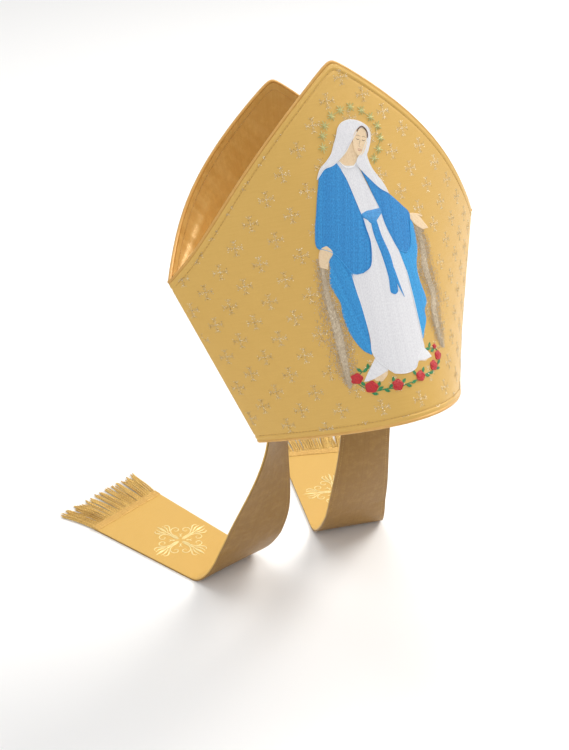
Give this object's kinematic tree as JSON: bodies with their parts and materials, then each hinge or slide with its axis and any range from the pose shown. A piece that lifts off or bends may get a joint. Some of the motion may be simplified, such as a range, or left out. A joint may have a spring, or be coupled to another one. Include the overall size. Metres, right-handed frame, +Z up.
{
  "type": "bishop mitre",
  "caption": "Tall two-horned ceremonial hat of gold brocade with a satin gusset, embroidered front and two fringed lappets hanging from the back rim.",
  "frame": {"origin": "centre of the head opening, where the rim sits on a head", "axes": "+Z up, front of the mitre towards -Y, +X to the right as seen from the front; the mitre leans back about X as it does when worn"},
  "size_m": [0.3632, 0.4199, 0.5302],
  "materials": {
    "brocade": "gold brocade with a soft sheen and woven metal-thread crosses",
    "satin": "glossy old-gold satin",
    "piping": "satin-covered piping",
    "fringe": "twisted metal-thread bullion and braid",
    "embroidery": "rayon embroidery thread in satin stitch"
  },
  "bodies": {
    "root": {"front_panel": "brocade", "back_panel": "brocade", "crown_lining": "satin", "front_edge_piping": "piping", "back_edge_piping": "piping", "base_piping": "piping", "left_lappet_face": "brocade", "left_lappet_lining": "satin", "left_lappet_braid": "fringe", "left_lappet_fringe": "fringe", "right_lappet_face": "brocade", "right_lappet_lining": "satin", "right_lappet_braid": "fringe", "right_lappet_fringe": "fringe"}
  },
  "joints": []
}
